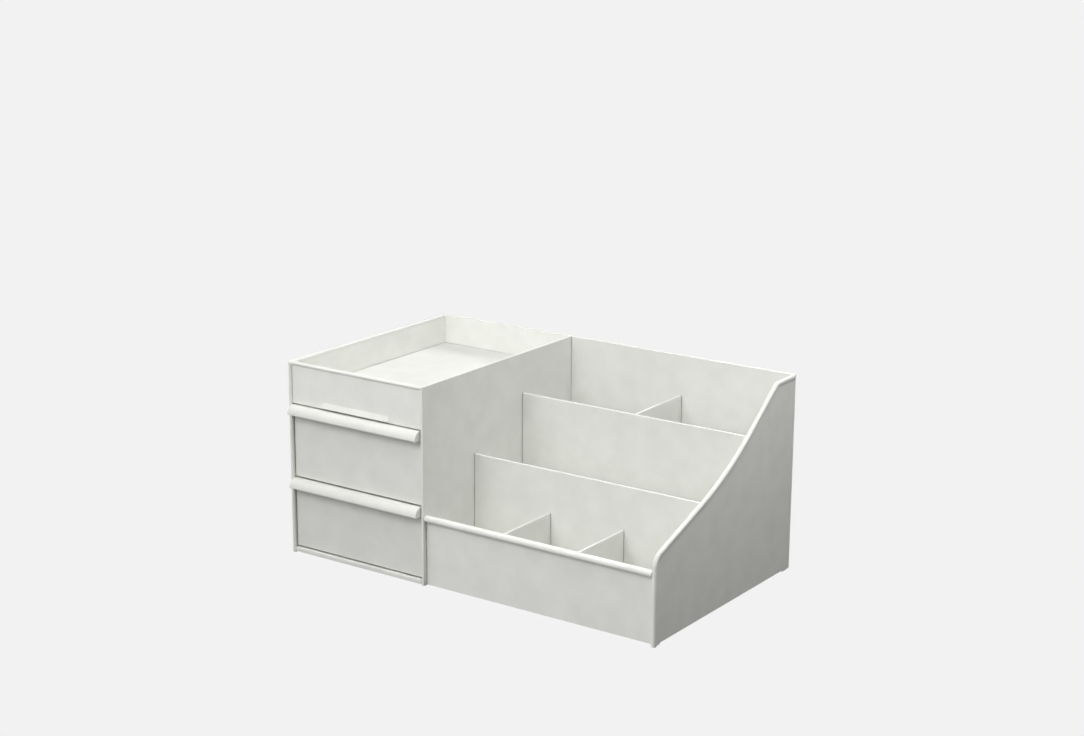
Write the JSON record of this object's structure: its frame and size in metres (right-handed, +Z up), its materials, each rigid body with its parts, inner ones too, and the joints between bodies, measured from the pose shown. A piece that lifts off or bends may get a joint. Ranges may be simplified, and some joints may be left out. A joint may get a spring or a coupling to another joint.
{
  "type": "desk organizer",
  "caption": "White plastic desk organizer: a drawer cabinet with an open top tray beside a stepped rack of open compartments with a sloping side panel.",
  "frame": {"origin": "middle of the footprint, on the surface that the organizer stands on", "axes": "+X from the drawer cabinet to the compartment rack, +Y from the fronts to the back, +Z up"},
  "size_m": [0.3206, 0.1934, 0.148],
  "materials": {
    "white_plastic": "satin",
    "drawer_plastic": "satin"
  },
  "bodies": {
    "organizer": {"left_side_panel": "white_plastic", "centre_panel": "white_plastic", "right_side_panel": "white_plastic", "back_panel": "white_plastic", "tray_front_panel": "white_plastic", "tray_floor": "white_plastic", "drawer_shelf": "white_plastic", "drawer_bay_base": "white_plastic", "compartment_base": "white_plastic", "front_panel": "white_plastic", "middle_partition": "white_plastic", "rear_partition": "white_plastic", "rear_divider": "white_plastic", "front_divider_left": "white_plastic", "front_divider_right": "white_plastic"},
    "upper_drawer": {"upper_drawer_box": "drawer_plastic", "upper_drawer_front": "drawer_plastic", "upper_drawer_pull": "drawer_plastic"},
    "lower_drawer": {"lower_drawer_box": "drawer_plastic", "lower_drawer_front": "drawer_plastic", "lower_drawer_pull": "drawer_plastic"}
  },
  "joints": [
    {"name": "upper_drawer_slide", "type": "slide", "parent": "organizer", "child": "upper_drawer", "axis": [0, -1, 0], "range_m": [0, 0.15]},
    {"name": "lower_drawer_slide", "type": "slide", "parent": "organizer", "child": "lower_drawer", "axis": [0, -1, 0], "range_m": [0, 0.15]}
  ]
}
